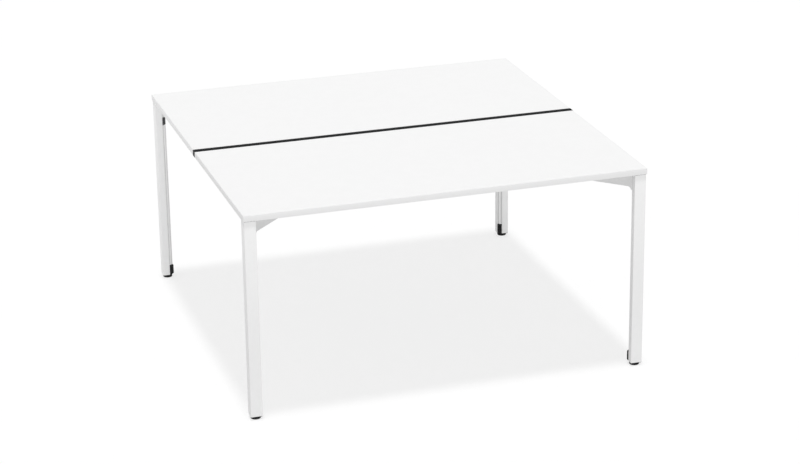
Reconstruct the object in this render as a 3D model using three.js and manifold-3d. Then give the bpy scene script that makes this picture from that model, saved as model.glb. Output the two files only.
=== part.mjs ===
// A benching desk for two people who sit face to face: two worktops with a black strip between them,
// on four square legs whose inner corner is cut at 45 degrees. The cut face holds a cable channel, and
// a diagonal arm bolted to it carries an inset steel frame. Millimetres, +Z up, front towards -Y.
// The origin is on the floor, under the middle of the desk.

import * as THREE from 'three';
import { mergeVertices } from 'three/addons/utils/BufferGeometryUtils.js';
import Module from 'manifold-3d';

// Overall sizes
const DESK_WIDTH = 1400;
const DESK_DEPTH = 1400;
const DESK_HEIGHT = 720;

// Worktops and the strip between them
const TOP_THICKNESS = 20;
const EDGE_BAND = 2;
const CENTRE_GAP = 24;
const STRIP_WALL = 2;
const STRIP_RECESS = 0.3;
const STRIP_END_PLATE = 2;
const STRIP_END_PLUG = 12;

// Legs: a square extrusion with its inner corner cut off and a cable channel in the cut
const LEG_SIZE = 40;
const LEG_INSET = 3;
const LEG_WALL = 2.5;
const LEG_CHAMFER = 16;
const LEG_EDGE_RADIUS = 1.5;
const CHANNEL_WIDTH = 13.6;
const CHANNEL_DEPTH = 8;
const REBATE_WIDTH = 16.8;
const REBATE_DEPTH = 1.9;
const LEG_CAP_PLATE = 1.5;
const LEG_CAP_PLUG = 6;
const LEG_CAP_INSET = 1;

// Snap-in cover of the cable channel, a raised rib on a thin flange, with the cable inlet left open above it
const COVER_WIDTH = 14.8;
const COVER_FLANGE = 0.7;
const COVER_RIB_WIDTH = 8.2;
const COVER_RIB_PROUD = 1.2;
const INLET_HEIGHT = 30;
const LINING_WALL = 1.2;
const LINING_PLATE = 1.4;

// Foot cap with a cable hood, and the screwed levelling glide below it
const PAD_RADIUS = 17;
const PAD_HEIGHT = 9.2;
const PAD_EDGE = 1.5;
const FOOT_PLATE = 2;
const FOOT_PLATE_INSET = 1.5;
const FOOT_PLUG = 20;
const HOOD_HEIGHT = 40;
const HOOD_BULGE = 7;
const HOOD_RISE = 6;
const HOOD_WALL = 1.6;
const HOOD_CORNER = 5;
const STEM_RADIUS = 4;
const STEM_LENGTH = 40;
const STEM_FLANGE_RADIUS = 7.5;
const STEM_FLANGE = 4;
const PAD_FLOOR = 4.2;
const BUSH_WALL = 0.9;
const BUSH_LENGTH = 18;

// Diagonal corner arms
const ARM_WIDTH = 28;
const ARM_WALL = 4;
const ARM_ROOT = 7;
const ARM_FILLET = 11;
const SCREW_RADIUS = 3;
const SCREW_HEAD_RADIUS = 5;
const SCREW_HEAD = 6;
const SCREW_END = 1.5;
const SCREW_RISE = 11;
const SCREW_SPACING = 20;
const NUT_PLATE = 4;
const NUT_PLATE_WIDTH = 16;
const NUT_PLATE_MARGIN = 6.5;

// Inset steel frame
const FRAME_INSET = 170;
const BEAM_WIDTH = 25;
const BEAM_DEPTH = 48;
const BEAM_WALL = 2;
const HUB_SIZE = 32;
const SPIGOT_LENGTH = 45;
const CENTRE_BEAM_WIDTH = 60;
const CENTRE_BEAM_DEPTH = 40;
const END_PLATE = 4;
const END_PLATE_WIDTH = 110;
const END_PLATE_MARGIN = 1.5;

// Fit of pieces that are pushed, screwed or laid together
const SEAT_GAP = 0.3;
const ROUND_SIDES = 16;
const PAD_SIDES = 36;
const ARC_STEPS = 5;

// Levels and places that follow from the sizes above
const UNDERSIDE = DESK_HEIGHT - TOP_THICKNESS;
const ARM_TOP = UNDERSIDE - SEAT_GAP;
const ARM_BOTTOM = UNDERSIDE - BEAM_DEPTH;
const ROOT_BOTTOM = ARM_BOTTOM - ARM_FILLET;
const FOOT_PLATE_BOTTOM = PAD_HEIGHT + SEAT_GAP;
const LEG_BOTTOM = FOOT_PLATE_BOTTOM + FOOT_PLATE;
const LEG_TOP = ARM_TOP - LEG_CAP_PLATE;
const HOOD_TOP = FOOT_PLATE_BOTTOM + HOOD_HEIGHT;
const COVER_TOP = ROOT_BOTTOM - INLET_HEIGHT;
const CHAMFER_MID = LEG_SIZE - LEG_CHAMFER / 2;
const HUB_PLACE = FRAME_INSET - LEG_INSET;
const ARM_LENGTH = (HUB_PLACE - CHAMFER_MID) * Math.SQRT2;
const TOP_DEPTH = (DESK_DEPTH - CENTRE_GAP) / 2;
const FRAME_X = DESK_WIDTH / 2 - FRAME_INSET;
const FRAME_Y = DESK_DEPTH / 2 - FRAME_INSET;
const LOWER_SCREW = ARM_BOTTOM + SCREW_RISE;
const UPPER_SCREW = LOWER_SCREW + SCREW_SPACING;
const SCREW_LEVELS = { upper: UPPER_SCREW, lower: LOWER_SCREW };
const NUT_PLATE_DEPTH = CHANNEL_DEPTH + LEG_WALL + SEAT_GAP;
const BUSH_BORE = STEM_RADIUS + SEAT_GAP;
const BUSH_RADIUS = BUSH_BORE + BUSH_WALL;
const BUSH_BOTTOM = LEG_BOTTOM;

const finish = (color, roughness, metalness = 0) => {
  return new THREE.MeshStandardMaterial({ color, roughness, metalness });
};
const MELAMINE = finish('#f7f7f6', 0.5);
const EDGING = finish('#f0f0ef', 0.45);
const POWDER_COAT = finish('#f1f1f0', 0.55);
const COVER_PLASTIC = finish('#eeeeec', 0.5);
const BLACK_PLASTIC = finish('#1d1d1e', 0.55);
const GREY_PLASTIC = finish('#4a4a4b', 0.55);
const BLACK_ALUMINIUM = finish('#202022', 0.45, 0.4);
const BRASS = finish('#c0a160', 0.35, 0.9);
const ZINC = finish('#b8bbbf', 0.35, 0.9);

const wasm = await Module();
wasm.setup();

// Closed mesh to solid, and back
function solid(geometry) {
  const bare = geometry.clone();
  bare.deleteAttribute('normal');
  bare.deleteAttribute('uv');
  const merged = mergeVertices(bare, 1e-4);
  const vertProperties = Float32Array.from(merged.attributes.position.array);
  const triVerts = Uint32Array.from(merged.index.array);
  return new wasm.Manifold(new wasm.Mesh({ numProp: 3, vertProperties, triVerts }));
}

function meshGeometry(manifold) {
  const result = manifold.getMesh();
  const geometry = new THREE.BufferGeometry();
  geometry.setAttribute('position', new THREE.BufferAttribute(result.vertProperties, 3));
  geometry.setIndex(new THREE.BufferAttribute(result.triVerts, 1));
  return geometry;
}

function cut(geometry, ...tools) {
  return meshGeometry(tools.reduce((body, tool) => body.subtract(solid(tool)), solid(geometry)));
}

function join(geometry, ...others) {
  return meshGeometry(others.reduce((body, other) => body.add(solid(other)), solid(geometry)));
}

function common(geometry, other) {
  return meshGeometry(solid(geometry).intersect(solid(other)));
}

// Box between two corners, upright prism of an outline, and bar of a side outline centred on y = 0
function box(low, high) {
  const size = high.map((value, axis) => value - low[axis]);
  const middle = high.map((value, axis) => (value + low[axis]) / 2);
  return new THREE.BoxGeometry(...size).translate(...middle);
}

function prism(outline, bottom, top) {
  const settings = { depth: top - bottom, bevelEnabled: false, curveSegments: ARC_STEPS };
  return new THREE.ExtrudeGeometry(outline, settings).translate(0, 0, bottom);
}

function bar(sideOutline, width) {
  return prism(sideOutline, -width / 2, width / 2).rotateX(Math.PI / 2);
}

function rod(radius, bottom, top) {
  const upright = new THREE.CylinderGeometry(radius, radius, top - bottom, ROUND_SIDES).rotateX(Math.PI / 2);
  return upright.translate(0, 0, (bottom + top) / 2);
}

function turned(profile, sides = ROUND_SIDES) {
  const points = profile.map(([radius, height]) => new THREE.Vector2(radius, height));
  return new THREE.LatheGeometry(points, sides).rotateX(Math.PI / 2);
}

function polygon(points) {
  return new THREE.Shape(points.map(([x, y]) => new THREE.Vector2(x, y)));
}

// Corner frame: the leg's outer corner is at 0, 0 and the desk lies towards +x +y. Depth runs into the
// leg from the middle of its cut face, and across runs along that face.
function cutFacePoint(depth, across) {
  return [CHAMFER_MID - (depth + across) / Math.SQRT2, CHAMFER_MID - (depth - across) / Math.SQRT2];
}

// Turns a piece drawn with +x straight out of the cut face on to that face
function onCutFace(geometry) {
  return geometry.rotateZ(Math.PI / 4).translate(CHAMFER_MID, CHAMFER_MID, 0);
}

// Five-sided outline of the leg, moved inwards by a margin, with its cut side at a depth of its own
function legOutline(margin, cutDepth) {
  const near = margin;
  const far = LEG_SIZE - margin;
  const step = 2 * CHAMFER_MID - cutDepth * Math.SQRT2 - far;
  return [[near, near], [far, near], [far, step], [step, far], [near, far]];
}

function legTube() {
  const outline = new THREE.Shape();
  const round = LEG_EDGE_RADIUS;
  const shoulder = CHANNEL_WIDTH / 2;
  const mouth = REBATE_WIDTH / 2;
  outline.moveTo(round, 0);
  outline.lineTo(LEG_SIZE - round, 0);
  outline.absarc(LEG_SIZE - round, round, round, -Math.PI / 2, 0, false);
  outline.lineTo(LEG_SIZE, LEG_SIZE - LEG_CHAMFER);
  outline.lineTo(...cutFacePoint(0, -mouth));
  outline.lineTo(...cutFacePoint(REBATE_DEPTH, -mouth));
  outline.lineTo(...cutFacePoint(REBATE_DEPTH, -shoulder));
  outline.lineTo(...cutFacePoint(CHANNEL_DEPTH, -shoulder));
  outline.lineTo(...cutFacePoint(CHANNEL_DEPTH, shoulder));
  outline.lineTo(...cutFacePoint(REBATE_DEPTH, shoulder));
  outline.lineTo(...cutFacePoint(REBATE_DEPTH, mouth));
  outline.lineTo(...cutFacePoint(0, mouth));
  outline.lineTo(LEG_SIZE - LEG_CHAMFER, LEG_SIZE);
  outline.lineTo(round, LEG_SIZE);
  outline.absarc(round, LEG_SIZE - round, round, Math.PI / 2, Math.PI, false);
  outline.lineTo(0, round);
  outline.absarc(round, round, round, Math.PI, 1.5 * Math.PI, false);
  outline.holes.push(polygon(legOutline(LEG_WALL, CHANNEL_DEPTH + LEG_WALL)));
  return cut(prism(outline, LEG_BOTTOM, LEG_TOP), ...screwHoles());
}

// Plug that fills the hollow of the leg with a push fit
function legPlug(bottom, top) {
  const margin = LEG_WALL + SEAT_GAP;
  return prism(polygon(legOutline(margin, CHANNEL_DEPTH + margin)), bottom, top);
}

function legCap() {
  const plate = polygon(legOutline(LEG_CAP_INSET, LEG_CAP_INSET));
  return join(prism(plate, LEG_TOP, ARM_TOP), legPlug(LEG_TOP - LEG_CAP_PLUG, LEG_TOP));
}

function cableCover() {
  const half = COVER_WIDTH / 2;
  const rib = COVER_RIB_WIDTH / 2;
  const back = REBATE_DEPTH - SEAT_GAP;
  const shelf = back - COVER_FLANGE;
  const face = -COVER_RIB_PROUD;
  const corners = [
    [face, -rib], [shelf, -rib], [shelf, -half], [back, -half],
    [back, half], [shelf, half], [shelf, rib], [face, rib],
  ];
  const outline = polygon(corners.map(([depth, across]) => cutFacePoint(depth, across)));
  return prism(outline, HOOD_TOP + SEAT_GAP, COVER_TOP);
}

// Lining of the cable inlet: a frame in the rebate and a sleeve in the channel, cut through to the inside
function inletLining() {
  const bottom = COVER_TOP + SEAT_GAP;
  const top = ROOT_BOTTOM - SEAT_GAP;
  const back = SEAT_GAP - REBATE_DEPTH;
  const floor = SEAT_GAP - CHANNEL_DEPTH;
  const frameHalf = REBATE_WIDTH / 2 - SEAT_GAP;
  const sleeveHalf = CHANNEL_WIDTH / 2 - SEAT_GAP;
  const wayHalf = sleeveHalf - LINING_WALL;
  const frame = box([back, -frameHalf, bottom], [back + LINING_PLATE, frameHalf, top]);
  const sleeve = box([floor, -sleeveHalf, bottom], [back, sleeveHalf, top]);
  const way = box(
    [floor + LINING_WALL, -wayHalf, bottom - LINING_WALL],
    [LINING_WALL, wayHalf, top - LINING_WALL],
  );
  return onCutFace(cut(join(frame, sleeve), way));
}

// Hood round the lower end of the channel: a shell with a rounded roof, open towards the leg and below, where
// its lower edge slopes up and out by a rise
function hoodShape(shrink, rise) {
  const front = HOOD_BULGE - shrink;
  const half = REBATE_WIDTH / 2 - SEAT_GAP - shrink;
  const back = SEAT_GAP - REBATE_DEPTH - shrink;
  const roof = HOOD_TOP - shrink;
  const floor = FOOT_PLATE_BOTTOM - shrink;
  const corner = HOOD_CORNER - shrink;
  const side = new THREE.Shape();
  side.moveTo(back, floor);
  side.lineTo(0, floor);
  side.lineTo(front, floor + rise);
  side.lineTo(front, roof - front);
  side.absarc(0, roof - front, front, 0, Math.PI / 2, false);
  side.lineTo(back, roof);
  const plan = new THREE.Shape();
  plan.moveTo(back, -half);
  plan.lineTo(front - corner, -half);
  plan.absarc(front - corner, corner - half, corner, -Math.PI / 2, 0, false);
  plan.absarc(front - corner, half - corner, corner, 0, Math.PI / 2, false);
  plan.lineTo(back, half);
  return common(bar(side, REBATE_WIDTH), prism(plan, floor, roof));
}

function footCap() {
  const hood = onCutFace(cut(hoodShape(0, HOOD_RISE), hoodShape(HOOD_WALL, 0)));
  const plate = prism(polygon(legOutline(FOOT_PLATE_INSET, 0)), FOOT_PLATE_BOTTOM, LEG_BOTTOM);
  const plug = legPlug(LEG_BOTTOM, LEG_BOTTOM + FOOT_PLUG);
  const seat = rod(BUSH_RADIUS + SEAT_GAP, BUSH_BOTTOM, LEG_BOTTOM + 2 * FOOT_PLUG);
  const stemWay = rod(BUSH_RADIUS - BUSH_WALL / 2, 0, LEG_BOTTOM + FOOT_PLUG);
  const drilled = [seat, stemWay].map((tool) => tool.translate(LEG_SIZE / 2, LEG_SIZE / 2, 0));
  return cut(join(plate, plug, hood), ...drilled);
}

function threadedBush() {
  const bottom = BUSH_BOTTOM + SEAT_GAP;
  const top = bottom + BUSH_LENGTH;
  const rim = [[BUSH_BORE, bottom], [BUSH_RADIUS, bottom], [BUSH_RADIUS, top], [BUSH_BORE, top]];
  return turned([...rim, rim[0]]);
}

function glideStem() {
  const bottom = PAD_FLOOR + SEAT_GAP;
  const flangeTop = bottom + STEM_FLANGE;
  const tip = SCREW_END;
  const top = bottom + STEM_LENGTH;
  return turned([
    [0, bottom], [STEM_FLANGE_RADIUS, bottom], [STEM_FLANGE_RADIUS, flangeTop], [STEM_RADIUS, flangeTop],
    [STEM_RADIUS, top - tip], [STEM_RADIUS - tip, top], [0, top],
  ]);
}

function glidePad() {
  const well = STEM_FLANGE_RADIUS + SEAT_GAP;
  return turned([
    [0, 0], [PAD_RADIUS - PAD_EDGE, 0], [PAD_RADIUS, PAD_EDGE], [PAD_RADIUS, PAD_HEIGHT - PAD_EDGE],
    [PAD_RADIUS - PAD_EDGE, PAD_HEIGHT], [well, PAD_HEIGHT], [well, PAD_FLOOR], [0, PAD_FLOOR],
  ], PAD_SIDES);
}

// Screws that hold the arm's root against the cut face, from the inside of the arm into the nut plate
function screwAxis(geometry, level) {
  return onCutFace(geometry.rotateY(Math.PI / 2).translate(0, 0, level));
}

function screwHoles() {
  const reach = NUT_PLATE_DEPTH + NUT_PLATE + SEAT_GAP;
  return Object.values(SCREW_LEVELS).map((level) => {
    return screwAxis(rod(SCREW_RADIUS + SEAT_GAP, -reach, ARM_ROOT + SEAT_GAP), level);
  });
}

function armScrew(level) {
  const seat = ARM_ROOT + SEAT_GAP;
  const end = -NUT_PLATE_DEPTH - NUT_PLATE;
  const profile = turned([
    [0, end], [SCREW_RADIUS - SCREW_END, end], [SCREW_RADIUS, end + SCREW_END], [SCREW_RADIUS, seat],
    [SCREW_HEAD_RADIUS, seat], [SCREW_HEAD_RADIUS, seat + SCREW_HEAD], [0, seat + SCREW_HEAD],
  ]);
  return screwAxis(profile, level);
}

function nutPlate() {
  const half = NUT_PLATE_WIDTH / 2;
  const low = [-NUT_PLATE_DEPTH - NUT_PLATE, -half, LOWER_SCREW - NUT_PLATE_MARGIN];
  const plate = box(low, [-NUT_PLATE_DEPTH, half, UPPER_SCREW + NUT_PLATE_MARGIN]);
  return cut(onCutFace(plate), ...screwHoles());
}

// Cast arm: a trough, open below the worktop, that widens from a filleted root keyed into the cable channel.
// At its inner end are a hub and two spigots that the frame's beams are pushed on to.
function cornerArm() {
  const half = ARM_WIDTH / 2;
  const side = new THREE.Shape();
  side.moveTo(SEAT_GAP, ARM_TOP);
  side.lineTo(SEAT_GAP, ROOT_BOTTOM);
  side.lineTo(ARM_WALL, ROOT_BOTTOM);
  side.absarc(ARM_WALL + ARM_FILLET, ROOT_BOTTOM, ARM_FILLET, Math.PI, Math.PI / 2, true);
  side.lineTo(ARM_LENGTH, ARM_BOTTOM);
  side.lineTo(ARM_LENGTH, ARM_TOP);
  const cutHalf = LEG_CHAMFER / Math.SQRT2;
  const widest = SEAT_GAP + half - cutHalf;
  const plan = polygon([
    [SEAT_GAP, -cutHalf], [widest, -half], [ARM_LENGTH, -half],
    [ARM_LENGTH, half], [widest, half], [SEAT_GAP, cutHalf],
  ]);
  const beam = common(bar(side, ARM_WIDTH), prism(plan, ROOT_BOTTOM, ARM_TOP));
  const trough = box(
    [ARM_ROOT, ARM_WALL - half, ARM_BOTTOM + ARM_WALL],
    [ARM_LENGTH - HUB_SIZE, half - ARM_WALL, UNDERSIDE],
  );
  const keyHalf = CHANNEL_WIDTH / 2 - SEAT_GAP;
  const key = box([SEAT_GAP - CHANNEL_DEPTH, -keyHalf, ROOT_BOTTOM], [ARM_ROOT, keyHalf, LEG_TOP - SEAT_GAP]);
  const arm = onCutFace(cut(join(beam, key), trough));
  const near = HUB_PLACE - HUB_SIZE / 2;
  const far = HUB_PLACE + HUB_SIZE / 2;
  const hub = box([near, near, ARM_BOTTOM], [far, far, ARM_TOP]);
  const inside = BEAM_WALL + SEAT_GAP;
  const grip = BEAM_WIDTH / 2 - inside;
  const low = ARM_BOTTOM + inside;
  const high = UNDERSIDE - inside;
  const alongX = box([HUB_PLACE, HUB_PLACE - grip, low], [far + SPIGOT_LENGTH, HUB_PLACE + grip, high]);
  const alongY = box([HUB_PLACE - grip, HUB_PLACE, low], [HUB_PLACE + grip, far + SPIGOT_LENGTH, high]);
  return cut(join(arm, hub, alongX, alongY), ...screwHoles());
}

// Square-ended tube along X or Y, with its section given by width, bottom and top
function tube(length, width, bottom, top, wall, alongY = false) {
  const outline = polygon([[-width / 2, bottom], [width / 2, bottom], [width / 2, top], [-width / 2, top]]);
  const inner = width / 2 - wall;
  const low = bottom + wall;
  const high = top - wall;
  outline.holes.push(polygon([[-inner, low], [inner, low], [inner, high], [-inner, high]]));
  const geometry = bar(outline, length);
  return alongY ? geometry : geometry.rotateZ(Math.PI / 2);
}

const desk = new THREE.Group();
desk.name = 'benching_desk';

function place(parent, name, geometry, material, x = 0, y = 0) {
  const piece = new THREE.Mesh(geometry, material);
  piece.name = name;
  piece.position.set(x, y, 0);
  parent.add(piece);
}

// Worktops: a faced board with an edging band all round it
function worktop(side, direction) {
  const middle = direction * (CENTRE_GAP + TOP_DEPTH) / 2;
  const halfX = DESK_WIDTH / 2;
  const halfY = TOP_DEPTH / 2;
  const boardX = halfX - EDGE_BAND;
  const boardY = halfY - EDGE_BAND;
  const board = box([-boardX, -boardY, UNDERSIDE], [boardX, boardY, DESK_HEIGHT]);
  const band = polygon([[-halfX, -halfY], [halfX, -halfY], [halfX, halfY], [-halfX, halfY]]);
  band.holes.push(polygon([[-boardX, -boardY], [boardX, -boardY], [boardX, boardY], [-boardX, boardY]]));
  place(desk, `worktop_${side}`, board, MELAMINE, 0, middle);
  place(desk, `edge_band_${side}`, prism(band, UNDERSIDE, DESK_HEIGHT), EDGING, 0, middle);
}
worktop('front', -1);
worktop('rear', 1);

// Black strip in the gap: a channel profile, open below, with a plugged end at each side of the desk
function centreStrip() {
  const half = CENTRE_GAP / 2 - SEAT_GAP;
  const inner = half - STRIP_WALL;
  const top = DESK_HEIGHT - STRIP_RECESS;
  const under = top - STRIP_WALL;
  const section = polygon([
    [-half, UNDERSIDE], [-inner, UNDERSIDE], [-inner, under], [inner, under],
    [inner, UNDERSIDE], [half, UNDERSIDE], [half, top], [-half, top],
  ]);
  const length = DESK_WIDTH - 2 * STRIP_END_PLATE;
  place(desk, 'centre_strip', bar(section, length).rotateZ(Math.PI / 2), BLACK_ALUMINIUM);
  const plugHalf = inner - SEAT_GAP;
  const plate = box([0, -half, UNDERSIDE], [STRIP_END_PLATE, half, top]);
  const plug = box([-STRIP_END_PLUG, -plugHalf, UNDERSIDE], [0, plugHalf, under - SEAT_GAP]);
  const end = join(plate, plug);
  place(desk, 'strip_end_right', end, BLACK_PLASTIC, length / 2);
  place(desk, 'strip_end_left', end.clone().rotateZ(Math.PI), BLACK_PLASTIC, -length / 2);
}
centreStrip();

// Frame beams between the hubs of the arms, and the wide beam under the strip with a plate welded to each end
function frame() {
  const hub = HUB_SIZE / 2;
  const longLength = 2 * (FRAME_X - hub);
  const crossLength = 2 * (FRAME_Y - hub);
  const long = tube(longLength, BEAM_WIDTH, ARM_BOTTOM, UNDERSIDE, BEAM_WALL);
  const cross = tube(crossLength, BEAM_WIDTH, ARM_BOTTOM, UNDERSIDE, BEAM_WALL, true);
  place(desk, 'long_beam_front', long, POWDER_COAT, 0, -FRAME_Y);
  place(desk, 'long_beam_rear', long, POWDER_COAT, 0, FRAME_Y);
  place(desk, 'cross_beam_left', cross, POWDER_COAT, -FRAME_X);
  place(desk, 'cross_beam_right', cross, POWDER_COAT, FRAME_X);
  const inner = FRAME_X - BEAM_WIDTH / 2;
  const bottom = UNDERSIDE - CENTRE_BEAM_DEPTH;
  const plateBottom = ARM_BOTTOM + END_PLATE_MARGIN;
  const plateTop = UNDERSIDE - END_PLATE_MARGIN;
  const halfWidth = CENTRE_BEAM_WIDTH / 2;
  const halfHollow = halfWidth - BEAM_WALL;
  const halfPlate = END_PLATE_WIDTH / 2;
  const weldedBeam = join(
    box([-inner, -halfWidth, bottom], [inner, halfWidth, UNDERSIDE]),
    box([-inner, -halfPlate, plateBottom], [END_PLATE - inner, halfPlate, plateTop]),
    box([inner - END_PLATE, -halfPlate, plateBottom], [inner, halfPlate, plateTop]),
  );
  const hollow = box(
    [-inner - END_PLATE, -halfHollow, bottom + BEAM_WALL],
    [inner + END_PLATE, halfHollow, UNDERSIDE - BEAM_WALL],
  );
  place(desk, 'centre_beam', cut(weldedBeam, hollow), POWDER_COAT);
}
frame();

// Corners: one leg with all that it carries, turned a quarter from one corner of the desk to the next
const CORNERS = [
  ['front_left', -1, -1, 0],
  ['front_right', 1, -1, Math.PI / 2],
  ['rear_right', 1, 1, Math.PI],
  ['rear_left', -1, 1, 1.5 * Math.PI],
];
for (const [corner, sideX, sideY, turn] of CORNERS) {
  const group = new THREE.Group();
  group.position.set(sideX * (DESK_WIDTH / 2 - LEG_INSET), sideY * (DESK_DEPTH / 2 - LEG_INSET), 0);
  group.rotation.z = turn;
  desk.add(group);
  const centre = LEG_SIZE / 2;
  place(group, `leg_${corner}`, legTube(), POWDER_COAT);
  place(group, `leg_cap_${corner}`, legCap(), BLACK_PLASTIC);
  place(group, `corner_arm_${corner}`, cornerArm(), POWDER_COAT);
  place(group, `nut_plate_${corner}`, nutPlate(), ZINC);
  for (const [position, level] of Object.entries(SCREW_LEVELS)) {
    place(group, `arm_screw_${position}_${corner}`, armScrew(level), ZINC);
  }
  place(group, `cable_cover_${corner}`, cableCover(), COVER_PLASTIC);
  place(group, `inlet_lining_${corner}`, inletLining(), GREY_PLASTIC);
  place(group, `foot_cap_${corner}`, footCap(), BLACK_PLASTIC);
  place(group, `threaded_bush_${corner}`, threadedBush(), BRASS, centre, centre);
  place(group, `glide_stem_${corner}`, glideStem(), ZINC, centre, centre);
  place(group, `glide_pad_${corner}`, glidePad(), BLACK_PLASTIC, centre, centre);
}

export default desk;
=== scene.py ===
from math import atan2, cos, pi, radians, sin, tan

import bmesh
import bpy
from mathutils import Matrix, Vector


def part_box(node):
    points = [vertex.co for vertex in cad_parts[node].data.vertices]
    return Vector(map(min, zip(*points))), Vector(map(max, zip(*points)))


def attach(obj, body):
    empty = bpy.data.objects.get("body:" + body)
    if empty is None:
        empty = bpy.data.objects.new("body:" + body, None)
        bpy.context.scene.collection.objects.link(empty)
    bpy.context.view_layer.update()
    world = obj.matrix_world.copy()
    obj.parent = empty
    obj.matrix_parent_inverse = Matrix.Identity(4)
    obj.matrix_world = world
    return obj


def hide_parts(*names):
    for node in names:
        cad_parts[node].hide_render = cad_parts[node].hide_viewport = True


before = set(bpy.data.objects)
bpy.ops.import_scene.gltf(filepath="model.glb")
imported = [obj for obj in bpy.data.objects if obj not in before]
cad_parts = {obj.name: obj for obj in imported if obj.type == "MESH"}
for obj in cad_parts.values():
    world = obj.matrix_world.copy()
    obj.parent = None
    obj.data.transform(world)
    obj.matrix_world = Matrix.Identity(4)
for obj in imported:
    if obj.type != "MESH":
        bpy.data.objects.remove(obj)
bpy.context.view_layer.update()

# Legs: square aluminium extrusions with the inner corner cut off at 45 degrees and a cable channel
# sunk into the cut. They are sawn to length, deburred and powder-coated white, and each stands on
# a foot cap.
CORNERS = ("front_left", "front_right", "rear_right", "rear_left")
LEG_DEBURR = 0.00035
JOIN_DISTANCE = 1e-6
FLAT_ANGLE = radians(0.5)
SHARP_ANGLE = radians(32)
SMOOTH_ANGLE = radians(28)
COAT_WHITE = "#f7f7f7"
COAT_SHADE = "#f3f3f3"
COAT_PEEL = 0.0016
COAT_DRIFT = 0.018

# Sockets of a node that mixes two colours: the share of the second, both colours, and the result.
SHARE, FIRST, SECOND, MIXED = 0, 6, 7, 2


def linear(hex_colour):
    """sRGB hex colour as linear red, green, blue and alpha."""
    parts = [int(hex_colour[at:at + 2], 16) / 255 for at in (1, 3, 5)]
    return (*[p / 12.92 if p <= 0.04045 else ((p + 0.055) / 1.055) ** 2.4 for p in parts], 1)


def add_node(tree, kind, inputs=None, **settings):
    """Adds a node to a tree, with its settings, and with its inputs set or linked."""
    node = tree.nodes.new(kind)
    for name, value in settings.items():
        setattr(node, name, value)
    for socket, value in (inputs or {}).items():
        if isinstance(value, bpy.types.NodeSocket):
            tree.links.new(value, node.inputs[socket])
        else:
            node.inputs[socket].default_value = value
    return node


def empty_material(name):
    """A new material with no nodes, and its tree."""
    material = bpy.data.materials.new(name)
    material.use_nodes = True
    material.node_tree.nodes.clear()
    return material, material.node_tree


# Polyester powder coat: satin white with a fine orange peel. The peel is 1.6 mm wide, and a faint
# drift of tone over 18 mm stands for the uneven film, because the peel alone is too fine to show.
powder_coat, tree = empty_material("white_powder_coat")
where = add_node(tree, "ShaderNodeTexCoord").outputs["Object"]
peel = add_node(tree, "ShaderNodeTexNoise", {
    "Vector": where, "Scale": 1 / COAT_PEEL, "Detail": 1.0})
drift = add_node(tree, "ShaderNodeTexNoise", {
    "Vector": where, "Scale": 1 / COAT_DRIFT, "Detail": 2.0})
tone = add_node(tree, "ShaderNodeMix", {
    SHARE: drift.outputs["Fac"], FIRST: linear(COAT_SHADE), SECOND: linear(COAT_WHITE)},
    data_type="RGBA")
satin = add_node(tree, "ShaderNodeMapRange", {
    "Value": peel.outputs["Fac"], "To Min": 0.40, "To Max": 0.52})
relief = add_node(tree, "ShaderNodeBump", {
    "Height": peel.outputs["Fac"], "Strength": 0.25, "Distance": 0.0001})
coat = add_node(tree, "ShaderNodeBsdfPrincipled", {
    "Base Color": tone.outputs[MIXED], "Roughness": satin.outputs["Result"],
    "Normal": relief.outputs["Normal"], "IOR": 1.5, "Specular IOR Level": 0.2})
add_node(tree, "ShaderNodeOutputMaterial", {"Surface": coat.outputs["BSDF"]})


def cad_copy(node):
    """A CAD node's solid as one joined mesh, its flat faces whole again."""
    solid = bmesh.new()
    solid.from_mesh(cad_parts[node].data)
    bmesh.ops.remove_doubles(solid, verts=solid.verts, dist=JOIN_DISTANCE)
    bmesh.ops.dissolve_limit(solid, angle_limit=FLAT_ANGLE, verts=solid.verts, edges=solid.edges)
    return solid


def round_edges(solid, radius, steps=2, edges=None):
    """Rounds the sharp ones of the given edges of a solid, or of all its edges."""
    sharp = [edge for edge in (solid.edges if edges is None else edges)
             if len(edge.link_faces) == 2 and edge.calc_face_angle() > SHARP_ANGLE]
    bmesh.ops.bevel(solid, geom=sharp, offset=radius, offset_type="OFFSET", segments=steps,
                    profile=0.5, affect="EDGES", clamp_overlap=True, loop_slide=True)


def add_piece(name, solid, material, body, nodes=(), place=Matrix()):
    """Makes a named piece from a bmesh or a mesh, finishes it and fixes it to a body."""
    mesh = solid
    if isinstance(solid, bmesh.types.BMesh):
        mesh = bpy.data.meshes.new(name)
        solid.to_mesh(mesh)
    mesh.transform(place)
    mesh.materials.clear()
    mesh.materials.append(material)
    mesh.shade_smooth()
    mesh.set_sharp_from_angle(angle=SMOOTH_ANGLE)
    piece = bpy.data.objects.new(name, mesh)
    bpy.context.scene.collection.objects.link(piece)
    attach(piece, body)
    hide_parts(*nodes)
    return piece


for corner in CORNERS:
    leg = cad_copy("leg_" + corner)
    round_edges(leg, LEG_DEBURR)
    add_piece("leg_tube_" + corner, leg, powder_coat, "desk", ["leg_" + corner])


# Leg caps: flat black plugs, injection-moulded in nylon and pushed into the top of each leg. Their
# thin plate keeps the leg off the worktop, and shows as a dark line in the joint.
CAP_EDGE = 0.0003
PLASTIC_BLACK = "#1e1e1f"
PLASTIC_WORN = "#2c2c2d"
SPARK_GRAIN = 0.0007
WEAR_SPREAD = 0.009

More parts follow.
